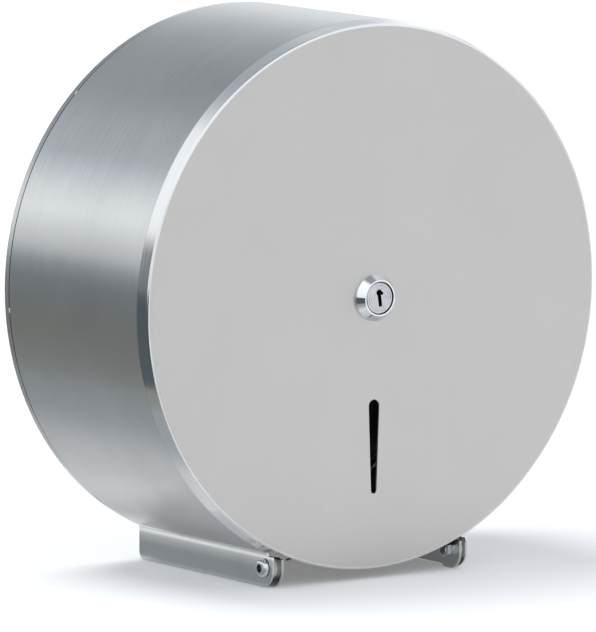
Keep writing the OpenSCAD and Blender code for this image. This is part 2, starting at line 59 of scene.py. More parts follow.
roll = Matrix.Rotation(radians(rolled), 4, "Z")
camera.matrix_world = Matrix.Translation(stands_at) @ facing @ roll
SCENE.collection.objects.link(camera)
SCENE.camera = camera


# Back plate: a pressed stainless dish that is screwed to the wall through four holes.
# Its cold-rolled sheet keeps the skin that the mill gave it, and its edge is left as sheared.
MM = 0.001


def linear(hex_colour):
    """Linear colour of an sRGB hex value."""
    parts = [int(hex_colour[i:i + 2], 16) / 255 for i in (1, 3, 5)]
    return tuple(c / 12.92 if c <= 0.04045 else ((c + 0.055) / 1.055) ** 2.4
                 for c in parts) + (1.0,)


def add(tree, kind, inputs=None, **settings):
    """Adds a node with its settings, and sets or links its inputs."""
    made = tree.nodes.new(kind)
    for key, value in settings.items():
        setattr(made, key, value)
    for key, value in (inputs or {}).items():
        if isinstance(value, bpy.types.NodeSocket):
            tree.links.new(value, made.inputs[key])
        else:
            made.inputs[key].default_value = value
    return made


def cleared(owner):
    """Empties the node tree of a material or of the world, and returns it."""
    owner.use_nodes = True
    owner.node_tree.nodes.clear()
    return owner.node_tree


def metal(name, colour, dark, roughness, grain, line, run, pull=0.0, along=None, bump=0.05,
          play=0.06):
    """Metal with marks that are `line` mm apart and run `run` mm far along the axes in `grain`.

    `pull` is how strongly the marks stretch a reflection, in the direction `along` across
    them. `play` is how much the roughness varies from mark to mark.
    """
    made = bpy.data.materials.new(name)
    tree = cleared(made)
    place = add(tree, "ShaderNodeTexCoord").outputs["Object"]
    scale = [1 / ((run if axis in grain else line) * MM) for axis in "XYZ"]
    stretched = add(tree, "ShaderNodeMapping", {"Vector": place, "Scale": scale}).outputs[0]
    marks = add(tree, "ShaderNodeTexNoise", {
        "Vector": stretched, "Scale": 1.0, "Detail": 3.0, "Roughness": 0.6}).outputs[0]
    clouds_per_metre = 22.0
    clouds = add(tree, "ShaderNodeTexNoise", {
        "Vector": place, "Scale": clouds_per_metre, "Detail": 3.0}).outputs[0]
    mixed = add(tree, "ShaderNodeMath", {0: marks, 1: clouds}, operation="ADD").outputs[0]
    share = add(tree, "ShaderNodeMapRange", {
        "Value": mixed, "From Min": 0.7, "From Max": 1.3}).outputs[0]
    shade = add(tree, "ShaderNodeMix", {0: share, 6: linear(dark), 7: linear(colour)},
                data_type="RGBA").outputs[2]
    rough = add(tree, "ShaderNodeMapRange", {
        "Value": marks, "From Min": 0.3, "From Max": 0.7,
        "To Min": roughness - play / 2, "To Max": roughness + play / 2}).outputs[0]
    bumps = add(tree, "ShaderNodeBump", {
        "Height": marks, "Strength": bump, "Distance": 0.02 * MM}).outputs[0]
    shader = add(tree, "ShaderNodeBsdfPrincipled", {
        "Base Color": shade, "Metallic": 1.0, "Roughness": rough, "Normal": bumps,
        "Anisotropic": pull})
    if along:
        tangent = add(tree, "ShaderNodeVectorTransform", {"Vector": along},
                      vector_type="VECTOR", convert_from="OBJECT", convert_to="WORLD")
        tree.links.new(tangent.outputs[0], shader.inputs["Tangent"])
    add(tree, "ShaderNodeOutputMaterial", {"Surface": shader.outputs[0]})
    return made


def overlay(material, where, colour, roughness=None):
    """Shows another skin of a metal, or painted light or shade on it, where the mask `where` is
    1.
    """
    tree = material.node_tree
    shader = tree.nodes["Principled BSDF"]
    skins_and_painted_light = {"Base Color": linear(colour)}
    if roughness is not None:
        skins_and_painted_light["Roughness"] = (roughness, roughness, roughness, 1.0)
    for label, other in skins_and_painted_light.items():
        skin = shader.inputs[label].links[0].from_socket
        both = add(tree, "ShaderNodeMix", {0: where, 6: skin, 7: other}, data_type="RGBA")
        tree.links.new(both.outputs[2], shader.inputs[label])


def dress(node, material):
    """Gives a CAD node a better material."""
    slots = NODES[node].data.materials
    for i in range(len(slots)):
        slots[i] = material


# Mill skin: a soft, slightly milky reflection with faint streaks along the rolling direction.
# Its streaks are drawn 0.5 mm apart, coarser than real ones, so that they show.
mill_stainless = metal("cold_rolled_stainless", "#BEBFBD", "#ABACAA", 0.3, "Z", 0.5, 40,
                       pull=0.4, along=(1, 0, 0))
# Pressed plate: the same skin, stretched smoother by the press, so it mirrors a little more.
# Its sheared edge is dull, and painted dark with painted shade of the seam in front of it.
plate_stainless = metal("pressed_stainless_sheared_edge_painted_shade", "#C4C5C4", "#B4B5B4", 0.2,
                        "Z", 0.5, 40, pull=0.4, along=(1, 0, 0))
sheared_y = -5.28 * MM
tree = plate_stainless.node_tree
place = add(tree, "ShaderNodeTexCoord").outputs["Object"]
depth = add(tree, "ShaderNodeSeparateXYZ", {0: place}).outputs[1]
# Painted shade: the flange's front face, seen in the seam, is coloured dark
sheared = add(tree, "ShaderNodeMath", {0: depth, 1: sheared_y}, operation="LESS_THAN")
overlay(plate_stainless, sheared.outputs[0], "#404142", 0.6)
dress("back_plate", plate_stainless)


# Rim bumpers: six clips of white moulded nylon, pushed over the flange's edge so that the
# drum can't rattle. Three of them show as pale spots in the dark seam at the left.
def moulded(name, colour, dark, roughness, grit):
    """Plastic with a fine moulded grain of `grit` mm."""
    made = bpy.data.materials.new(name)
    tree = cleared(made)
    place = add(tree, "ShaderNodeTexCoord").outputs["Object"]
    grains = add(tree, "ShaderNodeTexNoise", {
        "Vector": place, "Scale": 1 / (grit * MM), "Detail": 2.0}).outputs[0]
    shade = add(tree, "ShaderNodeMix", {0: grains, 6: linear(dark), 7: linear(colour)},
                data_type="RGBA").outputs[2]
    bumps = add(tree, "ShaderNodeBump", {
        "Height": grains, "Strength": 0.15, "Distance": 0.05 * MM}).outputs[0]
    shader = add(tree, "ShaderNodeBsdfPrincipled", {
        "Base Color": shade, "Roughness": roughness, "Normal": bumps})
    add(tree, "ShaderNodeOutputMaterial", {"Surface": shader.outputs[0]})
    return made


def behind(depth):
    """Y of a point that lies `depth` mm behind the front panel's face."""
    case_depth = 128.5
    return (depth - case_depth) * MM


def soften(outline, radius=0.15, steps=3):
    """Rounds a closed outline's corners. A third value in a point is its own radius."""
    eased = []
    for i, here in enumerate(outline):
        own = here[2] if len(here) > 2 else radius
        corner = Vector(here[:2])
        before = Vector(outline[i - 1][:2]) - corner
        after = Vector(outline[(i + 1) % len(outline)][:2]) - corner
        half = before.angle(after) / 2
        if own <= 0 or half > radians(88):
            eased.append(tuple(corner))
            continue
        reach = min(own / tan(half), 0.49 * before.length, 0.49 * after.length)
        own = reach * tan(half)
        inward = (before.normalized() + after.normalized()).normalized()
        middle = corner + inward * own / sin(half)
        start = corner + before.normalized() * reach - middle
        end = corner + after.normalized() * reach - middle
        for k in range(steps + 1):
            eased.append(tuple(middle + start.lerp(end, k / steps).normalized() * own))
    return eased


def extrude(bm, outline, low, high, place, edge=0.1):
    """Raises a closed outline in mm from low to high along its own Z, and places it.

    `edge` is how far its two rims are chamfered.
    """
    count = len(outline)
    area = sum(outline[i - 1][0] * outline[i][1] - outline[i][0] * outline[i - 1][1]
               for i in range(count))
    rings = []
    for height, inset in ((low, edge), (low + edge, 0), (high - edge, 0), (high, edge)):
        ring = []
        for i, (x, y) in enumerate(outline):
            ahead = Vector(outline[(i + 1) % count]) - Vector(outline[i - 1])
            inward = Vector((-ahead.y, ahead.x)).normalized() * (inset if area > 0 else -inset)
            spot = Vector((x + inward.x, y + inward.y, height)) * MM
            ring.append(bm.verts.new(place @ spot))
        rings.append(ring)
    for a, b in zip(rings, rings[1:]):
        for i in range(count):
            bm.faces.new((a[i], a[(i + 1) % count], b[(i + 1) % count], b[i]))
    bm.faces.new(rings[0])
    bm.faces.new(rings[-1])


def flatten(made):
    """Turns an object's modifiers into a plain mesh."""
    shown = made.evaluated_get(bpy.context.evaluated_depsgraph_get())
    result = bpy.data.meshes.new_from_object(shown)
    made.modifiers.clear()
    made.data = result


def tidy_mesh(mesh):
    """Merges doubles and points the faces outwards."""
    bm = bmesh.new()
    bm.from_mesh(mesh)
    bmesh.ops.remove_doubles(bm, verts=bm.verts, dist=1e-7)
    bmesh.ops.recalc_face_normals(bm, faces=bm.faces)
    bm.to_mesh(mesh)
    bm.free()


def mesh_of(name, bm, *materials):
    """Makes a closed object of a bmesh."""
    mesh = bpy.data.meshes.new(name)
    for material in materials:
        mesh.materials.append(material)
    bm.to_mesh(mesh)
    bm.free()
    tidy_mesh(mesh)
    made = bpy.data.objects.new(name, mesh)
    SCENE.collection.objects.link(made)
    return made


def settle(made, body, slot, *stands_for, smooth=40):
    """Shades a piece evenly up to its real edges, and lets it ride on a CAD body."""
    made.data.shade_smooth()
    made.data.set_sharp_from_angle(angle=radians(smooth))
    even = made.modifiers.new("even", "WEIGHTED_NORMAL")
    even.keep_sharp = True
    flatten(made)
    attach(made, body)
    if stands_for:
        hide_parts(*stands_for)


def tree_with(name, **sizes):
    """A Geometry Nodes tree with a geometry socket and one named input for each size."""
    tree = bpy.data.node_groups.new(name, "GeometryNodeTree")
    tree.interface.new_socket("Geometry", in_out="INPUT", socket_type="NodeSocketGeometry")
    for label, kind in sizes.items():
        tree.interface.new_socket(label, in_out="INPUT", socket_type="NodeSocket" + kind)
    tree.interface.new_socket("Geometry", in_out="OUTPUT", socket_type="NodeSocketGeometry")
    return tree, add(tree, "NodeGroupInput").outputs


def end_tree(tree, shape, material):
    """Ends a tree in plain geometry with its material."""
    whole = add(tree, "GeometryNodeRealizeInstances", {"Geometry": shape.outputs[0]})
    coated = add(tree, "GeometryNodeSetMaterial", {
        "Geometry": whole.outputs[0], "Material": material})
    add(tree, "NodeGroupOutput", {"Geometry": coated.outputs[0]})


def grow(name, tree, mesh, **sizes):
    """Runs a Geometry Nodes tree on a mesh and keeps the result as one plain mesh."""
    made = bpy.data.objects.new(name, mesh)
    SCENE.collection.objects.link(made)
    modifier = made.modifiers.new("grow", "NODES")
    modifier.node_group = tree
    for socket in tree.interface.items_tree:
        if socket.in_out == "INPUT" and socket.name in sizes:
            modifier[socket.identifier] = sizes[socket.name]
    flatten(made)
    tidy_mesh(made.data)
    return made


# Copies of one small part, each on its own point and turned by that point's own angles
scatter, given = tree_with("copies_on_points", Copy="Object", Material="Material")
turned_by = add(scatter, "GeometryNodeInputNamedAttribute", {"Name": "turned_by"},
                data_type="FLOAT_VECTOR")
copied = add(scatter, "GeometryNodeInstanceOnPoints", {
    "Points": given["Geometry"], "Rotation": turned_by.outputs[0],
    "Instance": add(scatter, "GeometryNodeObjectInfo", {
        "Object": given["Copy"]}).outputs["Geometry"]})
end_tree(scatter, copied, given["Material"])


def copies(name, bm, spots, turns, material):
    """Puts a copy of a small part on each spot, and drops the part that was copied."""
    part = mesh_of(name + "_copy", bm)
    points = bpy.data.meshes.new(name)
    points.from_pydata(spots, [], [])
    angles = points.attributes.new("turned_by", "FLOAT_VECTOR", "POINT")
    for i, turned in enumerate(turns):
        angles.data[i].vector = turned
    made = grow(name, scatter, points, Copy=part, Material=material)
    bpy.data.objects.remove(part)
    return made


# Moulded nylon: warm white and matt, with a soft highlight broken by the mould's fine grain
nylon = moulded("white_moulded_nylon", "#ECEDE9", "#DEDFDA", 0.42, 0.4)

# The clip's outline as (radius, depth), with one lip inside the flange and one over its edge
hook = [(137.4, 126.4), (138.3, 126.4), (138.3, 123.2),
        (139.8, 123.2), (139.8, 122.3), (137.4, 122.3)]
clip_width, clip_edge = 2.6, 0.3
clip_angles = (45, 135, -4, 184, 240, 300)
clip = bmesh.new()
extrude(clip, soften(hook, clip_edge), -clip_width / 2, clip_width / 2,
        Matrix.Translation((0, behind(0), 0)), clip_edge)
bumpers = copies("rim_bumper_clips", clip, [(0, 0, 0)] * len(clip_angles),
                 [(0, -radians(a), 0) for a in clip_angles], nylon)
settle(bumpers, "wall_unit", "white_nylon", "rim_bumpers")


# Roll spindle: a stainless tube welded to a round base that four steel rivets hold to the
# back plate. Its mouth carries a zinc-plated strike plate, whose slot the lock's cam enters.
def turn(bm, outline, place, steps=96, marked=None):
    """Turns a closed outline of (radius, height) in mm round its own Z axis, and places it.

    A radius or height may be a function of the angle. `marked` gives an edge's faces their
    material index.
    """
    rings = []
    for k in range(steps):
        a = 2 * pi * k / steps
        ring = []
        for point in outline:
            r, height = [value(a) if callable(value) else value for value in point]
            ring.append(bm.verts.new(place @ (Vector((r * cos(a), r * sin(a), height)) * MM)))
        rings.append(ring)
    for k in range(steps):
        here, ahead = rings[k], rings[(k + 1) % steps]
        for i in range(len(outline)):
            j = (i + 1) % len(outline)
            if outline[i][0] == 0 and outline[j][0] == 0:
                continue
            face = bm.faces.new((here[i], here[j], ahead[j], ahead[i]))
            if marked:
                face.material_index = marked(outline[i], outline[j])


def dome(radius, low, height, flat=0.0, steps=8):
    """Outline of a domed head, from its edge at `low` up to `flat` mm from the axis."""
    wide = radius - flat
    ball = (wide ** 2 + height ** 2) / (2 * height)
    reach = [wide * (1 - k / steps) for k in range(steps + 1)]
    return [(flat + r, low + height - ball + sqrt(ball ** 2 - r ** 2)) for r in reach]


# Bright zinc: a cool bluish grey with small cloudy crystals, clearer than the mill skin
zinc = metal("bright_zinc_plating", "#D3D7DB", "#B9BDC2", 0.28, "", 1.2, 1.2, bump=0.1)
dress("spindle_base", mill_stainless)
# Drawn tube: long lines along its axis from the die, so its highlight is a soft-edged stripe.
# They are drawn 0.6 mm apart, coarser than real ones.
tube_stainless = metal("drawn_stainless_tube", "#BEBFBD", "#ABACAA", 0.28, "Y", 0.6, 60)
dress("spindle_tube", tube_stainless)
dress("strike_plate", zinc)

# This turns an outline's own Z into the wall
to_wall = Matrix(((1, 0, 0, 0), (0, 0, 1, 0), (0, 1, 0, 0), (0, 0, 0, 1)))


def rivets(name, grip, spots, node):
    """Like rivets, flush in the wall face, whose heads press on `grip` mm of sheet."""
    plate_t, shank_r, head_r, head_h = 1.2, 2, 3.5, 1.0
    seat = plate_t + grip
    outline = [(0, 0), (2.7, 0), (shank_r, -0.96), (shank_r, -seat), (head_r - 0.1, -seat),
               (head_r, -seat - 0.1)]
    outline += [(r, -h) for r, h in dome(head_r, seat + 0.4, head_h)]
    bm = bmesh.new()
    turn(bm, outline, to_wall, 32)
    made = copies(name, bm, spots, [(0, 0, 0)] * len(spots), zinc)
    settle(made, "wall_unit", "zinc_plated", node)


base_ring_r, base_t = 30, 2
rivets("spindle_base_rivets", base_t,
       [(base_ring_r * cos(radians(a)) * MM, 0, base_ring_r * sin(radians(a)) * MM)
        for a in (45, 135, 225, 315)], "spindle_rivets")


# Hinge arms: two stainless strips, cut flat with an ear at the front and bent inwards to a
# foot at the back. Two rivets hold each foot to the back plate.
def cut(made, tool):
    """Cuts one closed shape out of another."""
    bite = made.modifiers.new("bite", "BOOLEAN")
    bite.operation = "DIFFERENCE"
    bite.solver = "EXACT"
    bite.object = tool
    flatten(made)
    bpy.data.objects.remove(tool)


# Strip: the mill skin again, with its streaks along the arm
strip_stainless = metal("cold_rolled_stainless_strip", "#BEBFBD", "#ABACAA", 0.3, "Y", 0.5,
                        40, pull=0.4, along=(0, 0, 1))
strip_t, inner_r = 1.5, 1.5
# Depth at which the bend starts, X of the bend's centre, and how much strip the bend takes up
bend_start, bend_x = 124.3, 53.15
bend_length = pi / 2 * (inner_r + strip_t / 2)
foot_start, foot_length = bend_start + bend_length, 25
foot_end = foot_start + foot_length
foot_x, foot_holes = 40.65, (-120.18, -109.18)
hinge_axis = (0, -118.5 * MM, -133.99 * MM)

# The flat blank as (distance along the strip, height, corner radius)
blank = soften([(0.9, -129.05, 0.8), (0.9, -138.26, 8), (5.73, -143.99, 8),
                (14.27, -143.99, 3), (16.78, -142.49, 2), (121.7, -142.49, 5),
                (121.7, -125.18, 0.4), (foot_end, -125.18, 3), (foot_end, -104.18, 3),
                (foot_start, -104.18, 3), (foot_start, -115.75, 0.3), (26, -115.75, 6),
                (14, -129.05, 3)], steps=5)

# This turns an outline's own Z to the right
to_side = Matrix(((0, 0, 1, 0), (1, 0, 0, 0), (0, 1, 0, 0), (0, 0, 0, 1)))
for side, label in ((-1, "left"), (1, "right")):
    flat = bmesh.new()
    extrude(flat, blank, 0, strip_t, Matrix(), 0.2)
    bend_steps = 6
    for k in range(bend_steps + 1):
        bmesh.ops.bisect_plane(
            flat, geom=flat.verts[:] + flat.edges[:] + flat.faces[:], dist=1e-7,
            plane_co=((bend_start + bend_length * k / bend_steps) * MM, 0, 0),
            plane_no=(1, 0, 0))
    for vert in flat.verts:
        along, up, out = vert.co / MM
        turned = min(max((along - bend_start) / bend_length, 0), 1) * pi / 2
        x = bend_x + (inner_r + out) * cos(turned) - max(along - foot_start, 0)
        depth = min(along, bend_start) + (inner_r + out) * sin(turned)
        vert.co = (side * x * MM, behind(depth), up * MM)
    arm = mesh_of("bent_hinge_arm_" + label, flat, strip_stainless)
    pins = bmesh.new()
    screw_hole_r, rivet_hole_r = 2.6, 2.1
    turn(pins, [(0, -70), (screw_hole_r, -70), (screw_hole_r, 70), (0, 70)],
         Matrix.Translation(hinge_axis) @ to_side, 48)
    for z in foot_holes:
        turn(pins, [(0, -9), (rivet_hole_r, -9), (rivet_hole_r, 0), (0, 0)],
             Matrix.Translation((side * foot_x * MM, 0, z * MM)) @ to_wall, 32)
    cut(arm, mesh_of("pins", pins))
    settle(arm, "wall_unit", "inner_sheet", "hinge_arm_" + label)
rivets("arm_foot_rivets", strip_t,
       [(side * foot_x * MM, 0, z * MM) for side in (-1, 1) for z in foot_holes],
       "arm_rivets")


# Hinge screws: chromed button heads with a hexagon socket, each with a steel bush that the
# leg turns on, a nylon spacer ring, a washer and a nut.
def hexagon(flats):
    """Distance from the axis to a hexagon's side, as a function of the angle."""
    return lambda a: flats / 2 / cos((a + pi / 6) % (pi / 3) - pi / 6)


def nut(bm, flats, bore, low, high, place):
    """Hexagon nut with chamfered corners and bore, from low to high along its own Z."""
    side = hexagon(flats)
    crown = 0.96 * flats / 2
    ease = 0.4

    def fall(a):
        return (side(a) - crown) * tan(radians(30))

    outline = [(crown, low), (side, lambda a: low + fall(a)),
               (side, lambda a: high - fall(a)), (crown, high),
               (bore + ease, high), (bore, high - ease), (bore, low + ease),
               (bore + ease, low)]
    turn(bm, outline, place, 72)


# Bright chrome: a cold mirror that shows the light and the dark side of the room sharply
chrome = metal("bright_chrome_plating", "#E9EAEC", "#DFE1E4", 0.07, "", 2, 2, bump=0.02,
               play=0.03)
# The socket is duller and painted dark, a painted shade in its recess, so the head is bright
# and its socket dark
screw_chrome = metal("bright_chrome_with_painted_socket_shade", "#D5D6D8", "#C7C9CC", 0.1, "", 2, 2,
                     bump=0.02, play=0.03)
socket_mouth_r = 2.26
tree = screw_chrome.node_tree
place = add(tree, "ShaderNodeTexCoord").outputs["Object"]
spot = add(tree, "ShaderNodeSeparateXYZ", {0: place}).outputs
flat_spot = add(tree, "ShaderNodeCombineXYZ", {1: spot[1], 2: spot[2]}).outputs[0]
from_axis = add(tree, "ShaderNodeVectorMath", {0: flat_spot, 1: hinge_axis},
                operation="DISTANCE").outputs["Value"]
socket_painted_shade = add(tree, "ShaderNodeMath", {0: from_axis, 1: socket_mouth_r * MM},
                operation="LESS_THAN")
# Painted shade: the socket is coloured dark and made duller
overlay(screw_chrome, socket_painted_shade.outputs[0], "#707275", 0.4)
dress("hinge_bushes", zinc)
dress("hinge_washers", zinc)
dress("hinge_spacers", nylon)

# The screw's outline as (radius, distance from the dispenser's middle): tip, shank, head
# and socket
socket = hexagon(3.8)
screw_outline = [(0, 50.55), (2.1, 50.55), (2.5, 50.95), (2.5, 60.8), (4.65, 60.8),
                 (4.8, 60.95)]
screw_outline += dome(4.8, 61.3, 2.25, 2.35)
screw_outline += [(2.25, 63.55), (socket, 63.4), (socket, 61.95), (0, 61.6)]
both_ways = [(0, 0, 0), (0, 0, pi)]
hinge_screw = bmesh.new()
turn(hinge_screw, screw_outline, to_side, 72)
screws = copies("hinge_button_screws", hinge_screw, [hinge_axis] * 2, both_ways, screw_chrome)
settle(screws, "wall_unit", "polished_chrome", "hinge_screws")
hinge_nut = bmesh.new()
nut(hinge_nut, 8, 2.55, 50.95, 53.65, to_side)
nuts = copies("hinge_hexagon_nuts", hinge_nut, [hinge_axis] * 2, both_ways, zinc)
settle(nuts, "wall_unit", "zinc_plated", "hinge_nuts")


# Drum wall: one stainless sheet, brushed, then bent round the roll, creased where it leaves
# the circle at the bottom and let down as two flat legs.
drum_r, leg_x, drum_t = 139.5, 60, 1
drum_front, leg_front, drum_rear = 6.8, 2.6, 122
foot_z, crease_x, crease_z, crease_r = -143.79, 63, -127.85, 3.0
corner_front, corner_rear = 9.0, 4.5

# Brushed round: the bright and dark bands of the room are drawn out along the drum's axis,
# across the brush lines. Real lines are 0.05 to 0.1 mm apart and wouldn't show, so they are
# drawn 0.7 mm apart.
drum_stainless = metal("stainless_brushed_round", "#CBCCCC", "#BFC0C0", 0.24, "XZ", 0.7, 50,
                       pull=0.95, along=(0, 1, 0))
# A painted highlight: a bright line is painted along the creases above the legs, and it fades
# in and out over these heights
fade_in, fade_out, legs_reach = (-129.6, -128.4), (-125.4, -126.4), 64
tree = drum_stainless.node_tree
place = add(tree, "ShaderNodeTexCoord").outputs["Object"]
spot = add(tree, "ShaderNodeSeparateXYZ", {0: place}).outputs
sideways = add(tree, "ShaderNodeMath", {0: spot[0]}, operation="ABSOLUTE").outputs[0]
near_leg = add(tree, "ShaderNodeMath", {0: sideways, 1: legs_reach * MM},
               operation="LESS_THAN").outputs[0]
above, below = [
    add(tree, "ShaderNodeMapRange", {
        "Value": spot[2], "From Min": start * MM, "From Max": end * MM}).outputs[0]
    for start, end in (fade_in, fade_out)]
band = add(tree, "ShaderNodeMath", {0: above, 1: below}, operation="MULTIPLY").outputs[0]
painted_crease_highlight = add(tree, "ShaderNodeMath", {0: band, 1: near_leg}, operation="MULTIPLY")
# Painted highlight along the creases
overlay(drum_stainless, painted_crease_highlight.outputs[0], "#F6F6F4")

# The middle line of the sheet's right half as (x, z, front depth, rear depth): leg, crease
# and circle. The leg's lower corners are round, so its depths change over its first points.
half = []
for h in (0, 0.05, 0.2, 0.45, 0.8, 1.25, 1.8, 2.5, 3.3, 4.1, 4.5, 5.6, 7, 9):
    front = corner_front - sqrt(corner_front ** 2 - (corner_front - h) ** 2)
    rear = corner_rear - sqrt(corner_rear ** 2 - (corner_rear - min(h, corner_rear)) ** 2)
    half.append((leg_x, foot_z + h, leg_front + front, drum_rear - rear))
half.append((leg_x, crease_z - 0.02, leg_front, drum_rear))
for k in range(10):
    a = radians(180 - 6.38 * k)
    half.append((crease_x + crease_r * cos(a), crease_z + crease_r * sin(a),
                 drum_front, drum_rear))
for k in range(140):
    a = radians(-63.77 + 1.1 * k)
    half.append((drum_r * cos(a), drum_r * sin(a), drum_front, drum_rear))


def tighter(x, z):
    """The seam isn't quite even: at the lower right it is up to 0.25 mm tighter."""
    off = abs(degrees(atan2(z, x)) + 51.2)
    return 0.25 * min(max((5 - off) / 2.5, 0), 1)


section = [(x, z, front, rear + tighter(x, z)) for x, z, front, rear in half[:-1]]
section += [(-x, z, front, rear) for x, z, front, rear in reversed(half)]
section_line = bpy.data.meshes.new("section_line")
section_line.from_pydata([(x * MM, 0, z * MM) for x, z, front, rear in section],
                         [(i, i + 1) for i in range(len(section) - 1)], [])
for label, column in (("front", 2), ("rear", 3)):
    values = section_line.attributes.new(label, "FLOAT", "POINT")
    values.data.foreach_set("value", [behind(point[column]) for point in section])

# The tree sweeps the sheet's cross-section along that line, and then moves each point's Y
# between the line's own front and rear depths.
sweep, given = tree_with("bent_sheet", Sheet="Float", Depth="Float", Edge="Float",
                         Material="Material")
path = add(sweep, "GeometryNodeMeshToCurve", {"Mesh": given["Geometry"]})
strip = add(sweep, "GeometryNodeCurvePrimitiveQuadrilateral", {
    "Width": given["Sheet"], "Height": given["Depth"]})
eased = add(sweep, "GeometryNodeFilletCurve", {
    "Curve": strip.outputs[0], "Radius": given["Edge"], "Count": 2}, mode="POLY")
on_strip = add(sweep, "ShaderNodeSeparateXYZ", {
    0: add(sweep, "GeometryNodeInputPosition").outputs[0]})
part_way = add(sweep, "ShaderNodeMath", {0: on_strip.outputs[1], 1: given["Depth"]},
               operation="DIVIDE")
across = add(sweep, "ShaderNodeMath", {0: part_way.outputs[0], 1: 0.5}, operation="ADD")
noted = add(sweep, "GeometryNodeStoreNamedAttribute", {
    "Geometry": eased.outputs[0], "Name": "across", "Value": across.outputs[0]},
    data_type="FLOAT", domain="POINT")
swept = add(sweep, "GeometryNodeCurveToMesh", {
    "Curve": path.outputs[0], "Profile Curve": noted.outputs[0], "Fill Caps": True})
front, rear, share = [
    add(sweep, "GeometryNodeInputNamedAttribute", {"Name": label}, data_type="FLOAT").outputs[0]
    for label in ("front", "rear", "across")]
depth_there = add(sweep, "ShaderNodeMix", {0: share, 2: front, 3: rear}, data_type="FLOAT",
                  clamp_factor=False)
on_sheet = add(sweep, "ShaderNodeSeparateXYZ", {
    0: add(sweep, "GeometryNodeInputPosition").outputs[0]})
moved = add(sweep, "ShaderNodeCombineXYZ", {
    0: on_sheet.outputs[0], 1: depth_there.outputs[0], 2: on_sheet.outputs[2]})
trimmed = add(sweep, "GeometryNodeSetPosition", {
    "Geometry": swept.outputs[0], "Position": moved.outputs[0]})
end_tree(sweep, trimmed, given["Material"])
drum = grow("bent_drum_sheet", sweep, section_line, Sheet=drum_t * MM,
            Depth=(drum_rear - leg_front) * MM, Edge=0.1 * MM, Material=drum_stainless)

# The holes in which the legs turn on the bushes
bush_hole_r = 3.55
pin = bmesh.new()
turn(pin, [(0, -70), (bush_hole_r, -70), (bush_hole_r, 70), (0, 70)],
     Matrix.Translation(hinge_axis) @ to_side, 64)
cut(drum, mesh_of("bush_holes", pin))
settle(drum, "cover", "brushed_sheet", "drum_wall", smooth=35)


# Front panel: a dished stainless disc, brushed upright and welded to the drum along its rim.
# The weld is ground flush and polished, which leaves a brighter band round the rim.
def two_flats(radius, flat):
    """Distance from the axis to a circle with two level flats, as a function of the angle."""
    return lambda a: min(radius, flat / max(abs(sin(a)), 1e-6))


# Brushed upright: an even pale grey with no clear reflection. Its lines are drawn 0.8 mm
# apart, coarser than real ones.
face_stainless = metal("stainless_brushed_upright", "#C2C0BD", "#BFBDBA", 0.38, "Z", 0.8, 90,
                       pull=0.6, along=(1, 0, 0), bump=0.02, play=0.03)
# Ground weld: smoother than the brushed sheets beside it, so the rim shows as a light band
ground_weld = metal("stainless_ground_weld", "#E2E2E1", "#D4D5D6", 0.17, "XZ", 0.8, 30,
                    pull=0.8, along=(0, 1, 0), bump=0.15, play=0.08)

# This turns an outline's own Z back from the panel's face
to_back = Matrix(((1, 0, 0, 0), (0, 0, 1, behind(0)), (0, 1, 0, 0), (0, 0, 0, 1)))
lock_hole = two_flats(9.6, 8.6)
# The rim's outline as (radius, depth, corner radius)
rim = soften([(20, 0, 0), (138, 0, 1.4), (140, 6.8, 0.12), (138.96, 6.8, 0.12),
              (137.25, 1, 0.4), (20, 1, 0)], 0, 5)
rim_starts = 136.9


def on_ground_rim(here, ahead):
    """1 on the rim's outer slope, which is of the second material, and 0 elsewhere."""
    if callable(here[0]) or callable(ahead[0]):
        return 0
    return int(min(here[0], ahead[0]) > rim_starts and here[1] < ahead[1])


dish = bmesh.new()
turn(dish, [(lock_hole, 0)] + rim + [(lock_hole, 1)], to_back, 360, on_ground_rim)
panel = mesh_of("dished_front_panel", dish, face_stainless, ground_weld)

# The slit that shows how much paper is left: a round top, a narrower round foot and
# straight sides that touch both
slit_top, slit_top_r, slit_foot, slit_foot_r = -55.25, 3.25, -98.3, 1.7
tilt = degrees(asin((slit_top_r - slit_foot_r) / (slit_top - slit_foot)))
slit = []
for z, r, first, last in ((slit_top, slit_top_r, -tilt, 180 + tilt),
                          (slit_foot, slit_foot_r, 180 + tilt, 360 - tilt)):
    for k in range(33):
        a = radians(first + (last - first) * k / 32)
        slit.append((r * cos(a), z + r * sin(a)))
slitter = bmesh.new()
extrude(slitter, slit, -3, 4, to_back, 0)
cut(panel, mesh_of("slit_punch", slitter))

# The rim is notched below, where the legs and the hinge ears pass it
notch_in, notch_out = 49.25, 61.25
for side in (-1, 1):
    notch = [(side * notch_in, -150), (side * notch_out, -150),
             (side * notch_out, -100), (side * notch_in, -100)]
    notcher = bmesh.new()
    extrude(notcher, notch, 1.2, 12, to_back, 0)
    cut(panel, mesh_of("rim_notch", notcher))
settle(panel, "cover", "brushed_sheet", "front_panel", smooth=28)


# Lock housing: a die-cast barrel with a chromed bezel, pushed through the panel from the
# front. Its two flats keep it from turning, and a nut on its thread clamps it.
# Bare casting, dull, and painted dark as painted shade in the recess, so the thin ring round
# the plug looks black
recess_painted_shade_zinc = metal("bare_zinc_casting_painted_recess_shade", "#4A4B4D", "#333436", 0.5, "", 1, 1)

# Outlines of the lock as (radius, mm back from the panel's face, corner radius)
barrel, thread_root = two_flats(9.5, 8.5), two_flats(9.0, 8.5)
bore_r, recess_r, recess_depth = 6.05, 8.4, -2.4
bezel = soften([(recess_r, recess_depth), (recess_r, -5, 0.15), (9.2, -5, 0.25),
                (12, -1.2, 0.3), (12, 0), (11, 0, 0)], 0.1, 4)


def in_recess(here, ahead):
    """1 on the recess that the plug's face lies in, which is bare and painted dark with painted
    shade, and 0 elsewhere.
    """
    bottom = here[0] == bore_r and ahead[1] == recess_depth
    return int(bottom or here[1] == recess_depth and ahead[0] < recess_r + 0.05)


